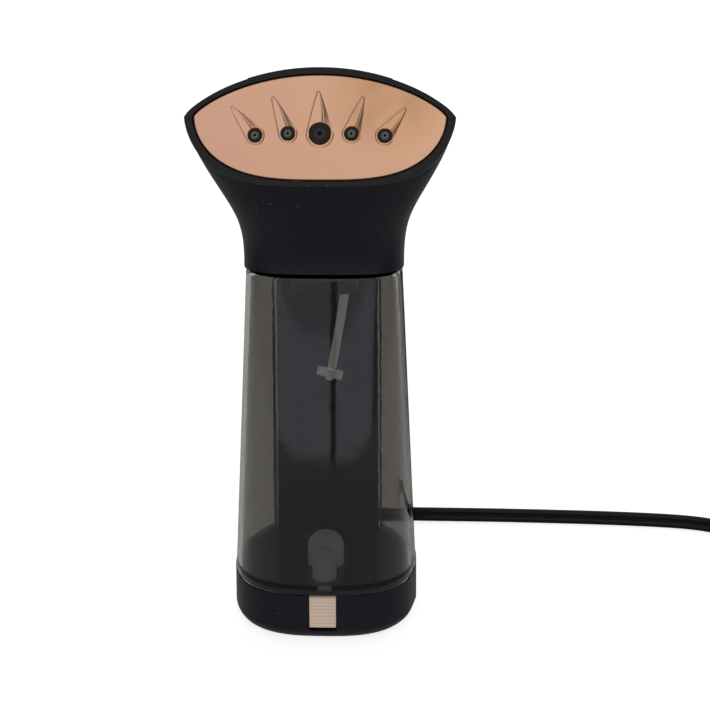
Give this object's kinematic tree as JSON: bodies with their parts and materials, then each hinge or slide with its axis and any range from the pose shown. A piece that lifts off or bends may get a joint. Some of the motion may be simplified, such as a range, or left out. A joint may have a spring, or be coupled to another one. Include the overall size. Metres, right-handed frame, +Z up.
{
  "type": "handheld garment steamer",
  "caption": "Upright handheld garment steamer with a tilted steam plate, smoked removable water tank, rear loop grip and mains cord.",
  "frame": {"origin": "on the floor, on the centre plane, under the widest line of the water tank", "axes": "+Z up, -Y the way the steam plate faces, +X to the viewer's right when looking at the plate"},
  "size_m": [0.3279, 0.1523, 0.2838],
  "materials": {
    "black_case": "soft-touch black moulding with a fine grain",
    "bezel_black": "satin black moulding",
    "grip_case": "soft-touch black moulding",
    "copper_plate": "rose-gold ceramic-coated plate, low gloss",
    "rose_gold": "rose-gold plated slider with ribs",
    "smoked": "smoked transparent water tank",
    "silicone_grey": "translucent grey silicone",
    "silicone_white": "milky silicone",
    "valve_plastic": "smoked moulded valve seat",
    "dark_metal": "dark bronze nozzle ring",
    "steel": "steel",
    "aluminium": "die-cast aluminium",
    "brass": "nickel-free brass blades",
    "board_green": "solder mask",
    "component": "moulded component",
    "rubber": "black rubber",
    "lens": "amber indicator lens",
    "cord": "black flexible cord",
    "white_ceramic": "ceramic body"
  },
  "bodies": {
    "body": {"base_shell": "black_case", "base_cover": "black_case", "rubber_feet": "rubber", "base_screws": "steel", "spine_front": "black_case", "spine_cover": "black_case", "control_board": "board_green", "board_components": "component", "grip_left": "grip_case", "grip_right": "grip_case", "trigger_switch": "component", "spring_seat": "component", "head_front_shell": "black_case", "head_rear_shell": "black_case", "power_switch": "component", "indicator_lens": "lens", "bezel": "bezel_black", "steam_plate": "copper_plate", "plate_seal": "silicone_grey", "heater_block": "aluminium", "heating_element": "steel", "centre_nozzle_ring": "dark_metal", "centre_nozzle_jet": "dark_metal", "nozzle_rings": "dark_metal", "nozzle_jets": "steel", "pump": "component", "suction_hose": "silicone_white", "feed_hose": "silicone_white", "thermostat": "white_ceramic", "thermal_fuse": "white_ceramic", "dock_gasket": "silicone_grey", "strain_relief": "rubber", "power_cord": "cord", "mains_plug": "cord", "plug_blades": "brass", "latch_spring": "steel", "trigger_spring": "steel"},
    "tank": {"tank_body": "smoked", "tank_valve_seat": "valve_plastic", "valve_spring": "steel", "pickup_tube": "silicone_white", "pickup_filter": "silicone_white"},
    "fill_plug": {"fill_plug": "silicone_grey"},
    "valve": {"valve_poppet": "valve_plastic"},
    "latch": {"tank_latch": "rose_gold"},
    "trigger": {"trigger": "bezel_black"},
    "trigger_lock": {"trigger_lock": "rose_gold"},
    "power_button": {"power_button": "rose_gold"}
  },
  "joints": [
    {"name": "tank_slide", "type": "slide", "parent": "body", "child": "tank", "axis": [0, -1, 0], "range_m": [0, 0.11]},
    {"name": "latch_slide", "type": "slide", "parent": "body", "child": "latch", "axis": [0, 0, -1], "range_m": [0, 0.0023], "deforming": ["latch_spring"]},
    {"name": "fill_plug_pull", "type": "slide", "parent": "tank", "child": "fill_plug", "axis": [0, 0, -1], "range_m": [0, 0.014]},
    {"name": "valve_lift", "type": "slide", "parent": "tank", "child": "valve", "axis": [0, 0, -1], "range_m": [0, 0.0018], "deforming": ["valve_spring"]},
    {"name": "trigger_press", "type": "slide", "parent": "body", "child": "trigger", "axis": [0, 0.9457, 0.325], "range_m": [0, 0.004], "deforming": ["trigger_spring"]},
    {"name": "trigger_lock_slide", "type": "slide", "parent": "body", "child": "trigger_lock", "axis": [0, -0.325, 0.9457], "range_m": [0, 0.005]},
    {"name": "power_button_press", "type": "slide", "parent": "body", "child": "power_button", "axis": [0, -0.5736, -0.8192], "range_m": [0, 0.0012]}
  ]
}
